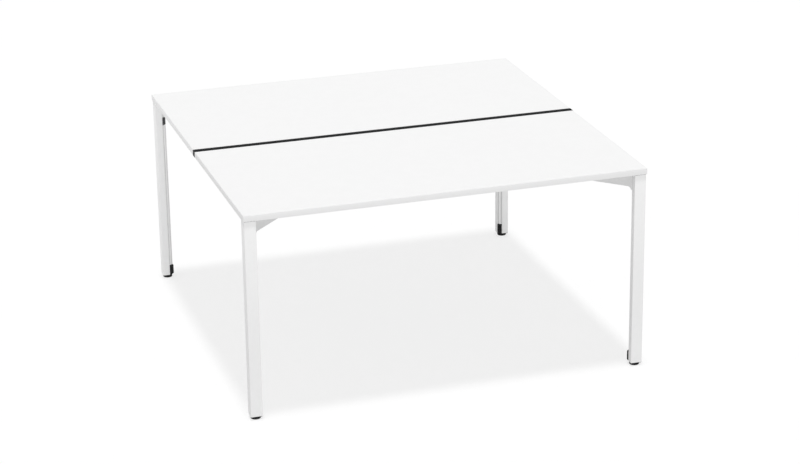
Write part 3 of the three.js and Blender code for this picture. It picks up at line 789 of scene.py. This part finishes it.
# Worktops: chipboard, faced on both sides with white melamine. The boards lie on the arms, the legs
# and the frame, and are screwed on from below. The solids of the frame are right, so they stay and
# get the facing.
MELAMINE_WHITE = "#f8f8f8"
MELAMINE_SHADE = "#f5f5f5"
PEARL = 0.0011
PAPER_CLOUD = 0.035

# Melamine facing: the press plate leaves a pearl texture 1.1 mm wide in a hard satin white. The
# paper under it is very slightly cloudy, in patches about 35 mm wide.
melamine, tree = empty_material("white_melamine")
where = add_node(tree, "ShaderNodeTexCoord").outputs["Object"]
pearl = add_node(tree, "ShaderNodeTexVoronoi", {"Vector": where, "Scale": 1 / PEARL},
                 feature="SMOOTH_F1")
cloud = add_node(tree, "ShaderNodeTexNoise", {
    "Vector": where, "Scale": 1 / PAPER_CLOUD, "Detail": 3.0})
tone = add_node(tree, "ShaderNodeMix", {
    SHARE: cloud.outputs["Fac"], FIRST: linear(MELAMINE_SHADE), SECOND: linear(MELAMINE_WHITE)},
    data_type="RGBA")
satin = add_node(tree, "ShaderNodeMapRange", {
    "Value": pearl.outputs["Distance"], "To Min": 0.38, "To Max": 0.5})
relief = add_node(tree, "ShaderNodeBump", {
    "Height": pearl.outputs["Distance"], "Strength": 0.15, "Distance": 0.0001})
facing = add_node(tree, "ShaderNodeBsdfPrincipled", {
    "Base Color": tone.outputs[MIXED], "Roughness": satin.outputs["Result"],
    "Normal": relief.outputs["Normal"], "IOR": 1.5, "Specular IOR Level": 0.2})
add_node(tree, "ShaderNodeOutputMaterial", {"Surface": facing.outputs["BSDF"]})

for side in ("front", "rear"):
    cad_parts["worktop_" + side].data.materials[0] = melamine


# Edging bands: white ABS, 2 mm thick, glued round each board and milled to a small radius along
# both edges and round the corners. A band is its section carried along a rounded rectangle, which
# bends a little wider than the section's inner side.
BAND_THICKNESS = 0.002
BAND_EDGE = 0.0008
BAND_BEND = 0.505
BAND_WHITE = "#f3f3f3"
BAND_SHADE = "#efefef"
MILL_LINE = 0.0008
MILL_LENGTH = 0.060

# ABS edging: milled and buffed lengthwise, which leaves faint level lines 0.8 mm apart on a satin
# white.
edging, tree = empty_material("white_abs_edging")
where = add_node(tree, "ShaderNodeTexCoord").outputs["Object"]
along = add_node(tree, "ShaderNodeMapping", {
    "Vector": where, "Scale": (1 / MILL_LENGTH, 1 / MILL_LENGTH, 1 / MILL_LINE)})
milled = add_node(tree, "ShaderNodeTexNoise", {
    "Vector": along.outputs["Vector"], "Scale": 1.0, "Detail": 2.0})
tone = add_node(tree, "ShaderNodeMix", {
    SHARE: milled.outputs["Fac"], FIRST: linear(BAND_SHADE), SECOND: linear(BAND_WHITE)},
    data_type="RGBA")
buffed = add_node(tree, "ShaderNodeMapRange", {
    "Value": milled.outputs["Fac"], "To Min": 0.36, "To Max": 0.46})
relief = add_node(tree, "ShaderNodeBump", {
    "Height": milled.outputs["Fac"], "Strength": 0.15, "Distance": 0.0001})
abs_plastic = add_node(tree, "ShaderNodeBsdfPrincipled", {
    "Base Color": tone.outputs[MIXED], "Roughness": buffed.outputs["Result"],
    "Normal": relief.outputs["Normal"], "IOR": 1.53, "Specular IOR Level": 0.2})
add_node(tree, "ShaderNodeOutputMaterial", {"Surface": abs_plastic.outputs["BSDF"]})

band_tree, band_inputs, given = open_tree("edging_band", {
    "Length": "Float", "Depth": "Float", "Height": "Float", "Thickness": "Float",
    "Edge Radius": "Float", "Plastic": "Material"}, takes_geometry=False)
path_length = add_node(band_tree, "ShaderNodeMath", {0: given["Length"], 1: given["Thickness"]},
                       operation="SUBTRACT")
path_depth = add_node(band_tree, "ShaderNodeMath", {0: given["Depth"], 1: given["Thickness"]},
                      operation="SUBTRACT")
bend = add_node(band_tree, "ShaderNodeMath", {0: given["Thickness"], 1: BAND_BEND},
                operation="MULTIPLY")
path = add_node(band_tree, "GeometryNodeCurvePrimitiveQuadrilateral", {
    "Width": path_length.outputs["Value"], "Height": path_depth.outputs["Value"]},
    mode="RECTANGLE")
round_path = add_node(band_tree, "GeometryNodeFilletCurve", {
    "Curve": path.outputs["Curve"], "Count": 6, "Radius": bend.outputs["Value"]}, mode="POLY")
section = add_node(band_tree, "GeometryNodeCurvePrimitiveQuadrilateral", {
    "Width": given["Thickness"], "Height": given["Height"]}, mode="RECTANGLE")
round_section = add_node(band_tree, "GeometryNodeFilletCurve", {
    "Curve": section.outputs["Curve"], "Count": 4, "Radius": given["Edge Radius"]}, mode="POLY")
upright = add_node(band_tree, "GeometryNodeSetCurveNormal", {
    "Curve": round_path.outputs["Curve"]}, mode="Z_UP")
swept = add_node(band_tree, "GeometryNodeCurveToMesh", {
    "Curve": upright.outputs["Curve"], "Profile Curve": round_section.outputs["Curve"]})
close_tree(band_tree, swept.outputs["Mesh"], given["Plastic"])

for side in ("front", "rear"):
    node = "edge_band_" + side
    low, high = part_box(node)
    size = high - low
    ring = grown(bmesh.new(), band_tree, band_inputs, {
        "Length": size.x, "Depth": size.y, "Height": size.z, "Thickness": BAND_THICKNESS,
        "Edge Radius": BAND_EDGE, "Plastic": edging})
    add_piece("edging_" + side, ring, edging, "desk", [node],
              Matrix.Translation((low + high) / 2))


# Centre strip: a black anodised aluminium channel, open below, set into the gap between the
# worktops, with a thin flange that laps over the edge of each. Black plastic plugs with a lapping
# face close the gap at both ends.
STRIP_WALL = 0.002
STRIP_FOOT_EDGE = 0.0002
STRIP_INNER_EDGE = 0.0005
STRIP_FLANGE = 0.0019
STRIP_LEAF = 0.0004
STRIP_EDGE = 0.0001
STRIP_END_EDGE = 0.0005
ANODISED_BLACK = "#121213"
ANODISED_GREY = "#1c1c1d"
BRUSH_LINE = 0.0006
BRUSH_LENGTH = 0.120

# Black anodising over drawn aluminium: fine lines along the strip, 0.6 mm apart, in a matt black.
# The dyed film hides the metal, so it is shaded as a film and not as bare metal.
anodised, tree = empty_material("black_anodised_aluminium")
where = add_node(tree, "ShaderNodeTexCoord").outputs["Object"]
along = add_node(tree, "ShaderNodeMapping", {
    "Vector": where, "Scale": (1 / BRUSH_LENGTH, 1 / BRUSH_LINE, 1 / BRUSH_LINE)})
brushed = add_node(tree, "ShaderNodeTexNoise", {
    "Vector": along.outputs["Vector"], "Scale": 1.0, "Detail": 3.0})
tone = add_node(tree, "ShaderNodeMix", {
    SHARE: brushed.outputs["Fac"], FIRST: linear(ANODISED_BLACK), SECOND: linear(ANODISED_GREY)},
    data_type="RGBA")
matt = add_node(tree, "ShaderNodeMapRange", {
    "Value": brushed.outputs["Fac"], "To Min": 0.42, "To Max": 0.58})
relief = add_node(tree, "ShaderNodeBump", {
    "Height": brushed.outputs["Fac"], "Strength": 0.2, "Distance": 0.0001})
oxide = add_node(tree, "ShaderNodeBsdfPrincipled", {
    "Base Color": tone.outputs[MIXED], "Roughness": matt.outputs["Result"],
    "Normal": relief.outputs["Normal"], "Specular IOR Level": 0.02})
add_node(tree, "ShaderNodeOutputMaterial", {"Surface": oxide.outputs["BSDF"]})

low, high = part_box("centre_strip")
strip_half = (high.y - low.y) / 2
wall = strip_half - STRIP_WALL
ceiling = high.z - STRIP_WALL
board_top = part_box("worktop_front")[1].z
leaf_top = board_top + STRIP_LEAF
leaf_half = strip_half + STRIP_FLANGE
strip_section = filleted([
    (-strip_half, low.z, STRIP_FOOT_EDGE), (-wall, low.z, STRIP_FOOT_EDGE),
    (-wall, ceiling, STRIP_INNER_EDGE), (wall, ceiling, STRIP_INNER_EDGE),
    (wall, low.z, STRIP_FOOT_EDGE), (strip_half, low.z, STRIP_FOOT_EDGE),
    (strip_half, board_top, 0), (leaf_half, board_top, 0), (leaf_half, leaf_top, STRIP_EDGE),
    (-leaf_half, leaf_top, STRIP_EDGE), (-leaf_half, board_top, 0), (-strip_half, board_top, 0)],
    steps=4)
channel = extruded(strip_section, low.x, high.x)
lay_down = Matrix(((0, 0, 1, 0), (1, 0, 0, 0), (0, 1, 0, 0), (0, 0, 0, 1)))
add_piece("strip_channel", channel, anodised, "desk", ["centre_strip"], lay_down)
stand_up = Matrix.Rotation(pi / 2, 4, "X")
for side, strip_stop, outward in (("left", low.x, -1), ("right", high.x, 1)):
    node = "strip_end_" + side
    end = cad_copy(node)
    round_edges(end, STRIP_END_EDGE)
    add_piece("strip_plug_" + side, end, black_plastic, "desk", [node])
    end_low, end_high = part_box(node)
    band_face = end_high.x if outward > 0 else end_low.x
    leaf_face = band_face + outward * STRIP_LEAF
    leaf_outline = (
        (band_face, end_low.z), (leaf_face, end_low.z), (leaf_face, leaf_top),
        (strip_stop, leaf_top), (strip_stop, board_top), (band_face, board_top))
    leaf = extruded([Vector(point) for point in leaf_outline], -leaf_half, leaf_half)
    round_edges(leaf, STRIP_EDGE)
    add_piece("strip_face_" + side, leaf, black_plastic, "desk", (), stand_up)


# Stage: a white studio floor in four quarters, which go down with the foot that stands on them. A
# flat slope at each seam dips under the next quarter. To the camera it is paper white with a faint
# shadow, and to the object it is a matt white that throws light back up.
FLOOR_REACH = 40
FLOOR_LAP = 0.5
FLOOR_DIP = 0.02
FLOOR_GLOW = 0.70
FLOOR_SHADED = 0.31
FLOOR_WHITE = "#e6e6e6"
PURE_WHITE = "#ffffff"


def plainly_seen(node_tree):
    """A socket that is 1 for what is seen straight, in a mirror or through glass, and else 0."""
    rays = add_node(node_tree, "ShaderNodeLightPath").outputs
    straight = add_node(node_tree, "ShaderNodeMath", {
        0: rays["Is Camera Ray"], 1: rays["Is Glossy Ray"]}, operation="MAXIMUM")
    anyhow = add_node(node_tree, "ShaderNodeMath", {
        0: straight.outputs["Value"], 1: rays["Is Transmission Ray"]}, operation="MAXIMUM")
    return anyhow.outputs["Value"]


paper, tree = empty_material("white_studio_floor")
glow = add_node(tree, "ShaderNodeEmission", {
    "Color": linear(PURE_WHITE), "Strength": FLOOR_GLOW})
shaded = add_node(tree, "ShaderNodeBsdfDiffuse", {
    "Color": (FLOOR_SHADED, FLOOR_SHADED, FLOOR_SHADED, 1)})
shown = add_node(tree, "ShaderNodeAddShader", {
    0: glow.outputs["Emission"], 1: shaded.outputs["BSDF"]})
plain = add_node(tree, "ShaderNodeBsdfDiffuse", {"Color": linear(FLOOR_WHITE)})
either = add_node(tree, "ShaderNodeMixShader", {
    0: plainly_seen(tree), 1: plain.outputs["BSDF"], 2: shown.outputs["Shader"]})
add_node(tree, "ShaderNodeOutputMaterial", {"Surface": either.outputs["Shader"]})
paper.cycles.emission_sampling = "NONE"

off_the_floor = bpy.data.collections.new("off_the_floor")
for corner in CORNERS:
    way = Vector((1 if "right" in corner else -1, 1 if "rear" in corner else -1))
    far, lap = way * FLOOR_REACH, way * -FLOOR_LAP
    flat = [(0, 0, 0), (far.x, 0, 0), (far.x, far.y, 0), (0, far.y, 0)]
    dipped = [(far.x, lap.y, -FLOOR_DIP), (lap.x, lap.y, -FLOOR_DIP), (lap.x, far.y, -FLOOR_DIP)]
    quarter = bpy.data.meshes.new("studio_floor_" + corner)
    quarter.from_pydata(flat + dipped, [], [(0, 1, 2, 3), (0, 1, 4, 5), (0, 5, 6, 3)])
    quarter.materials.append(paper)
    floor = bpy.data.objects.new("studio_floor_" + corner, quarter)
    bpy.context.scene.collection.objects.link(floor)
    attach(floor, "glide_" + corner)
    off_the_floor.objects.link(floor)
for member in off_the_floor.collection_objects:
    member.light_linking.link_state = "EXCLUDE"


# Light: two lamps overhead, a little apart, which give the shadow under the tops, in an even pale
# room. A level lamp in front and a soft panel beside the rear left leg are kept off the floor. The
# room is plain white to the camera. A lamp has a direction, a breadth in degrees and a strength.
ROOM_STRENGTH = 0.55
LAMPS = {
    "overhead_front": ((-0.018, -0.084, 1), 5.2, 0.69),
    "overhead_rear": ((-0.018, -0.028, 1), 5.2, 0.69),
    "front_lamp": ((-0.08, -1, 0.05), 5, 0.62),
}
PANEL_PLACE = Vector((-1.6, 1.3, 0.5))
PANEL_AIM = Vector((-0.69, 0.68, 0.4))
PANEL_SIZE = 0.8
PANEL_WATTS = 2.0
world = bpy.data.worlds.new("studio")
bpy.context.scene.world = world
world.use_nodes = True
tree = world.node_tree
tree.nodes.clear()
room = add_node(tree, "ShaderNodeBackground", {
    "Color": linear(PURE_WHITE), "Strength": ROOM_STRENGTH})
white = add_node(tree, "ShaderNodeBackground", {"Color": linear(PURE_WHITE), "Strength": 1.0})
either = add_node(tree, "ShaderNodeMixShader", {
    0: plainly_seen(tree), 1: room.outputs["Background"], 2: white.outputs["Background"]})
add_node(tree, "ShaderNodeOutputWorld", {"Surface": either.outputs["Shader"]})
for name, (source, breadth, power) in LAMPS.items():
    lamp = bpy.data.lights.new(name, "SUN")
    lamp.energy = power
    lamp.angle = radians(breadth)
    stand = bpy.data.objects.new(name, lamp)
    stand.rotation_euler = Vector(source).to_track_quat("Z", "Y").to_euler()
    bpy.context.scene.collection.objects.link(stand)
    if name == "front_lamp":
        stand.light_linking.receiver_collection = off_the_floor
panel = bpy.data.lights.new("panel", "AREA")
panel.energy = PANEL_WATTS
panel.size = PANEL_SIZE
stand = bpy.data.objects.new("panel", panel)
panel_turn = (PANEL_PLACE - PANEL_AIM).to_track_quat("Z", "Y").to_matrix().to_4x4()
stand.matrix_world = Matrix.Translation(PANEL_PLACE) @ panel_turn
stand.visible_camera = False
bpy.context.scene.collection.objects.link(stand)
stand.light_linking.receiver_collection = off_the_floor


# Camera: a long lens well above the tops, to the front and left of the desk. It looks down at the
# desk without any shift, so that other views keep the desk in the frame.
CAMERA_PLACE = (-2.363, -7.731, 3.355)
CAMERA_YAW = radians(17.29)
CAMERA_PITCH = radians(20.50)
CAMERA_ROLL = radians(-0.794)
CAMERA_LENS = 107.96
CAMERA_SENSOR = 36
CAMERA_RANGE = 200
camera_data = bpy.data.cameras.new("camera")
camera_data.sensor_width = CAMERA_SENSOR
camera_data.lens = CAMERA_LENS
camera_data.clip_end = CAMERA_RANGE
camera = bpy.data.objects.new("camera", camera_data)
camera.matrix_world = (
    Matrix.Translation(CAMERA_PLACE) @ Matrix.Rotation(-CAMERA_YAW, 4, "Z")
    @ Matrix.Rotation(pi / 2 - CAMERA_PITCH, 4, "X") @ Matrix.Rotation(CAMERA_ROLL, 4, "Z"))
bpy.context.scene.collection.objects.link(camera)
bpy.context.scene.camera = camera
bpy.context.scene.view_settings.view_transform = "Standard"
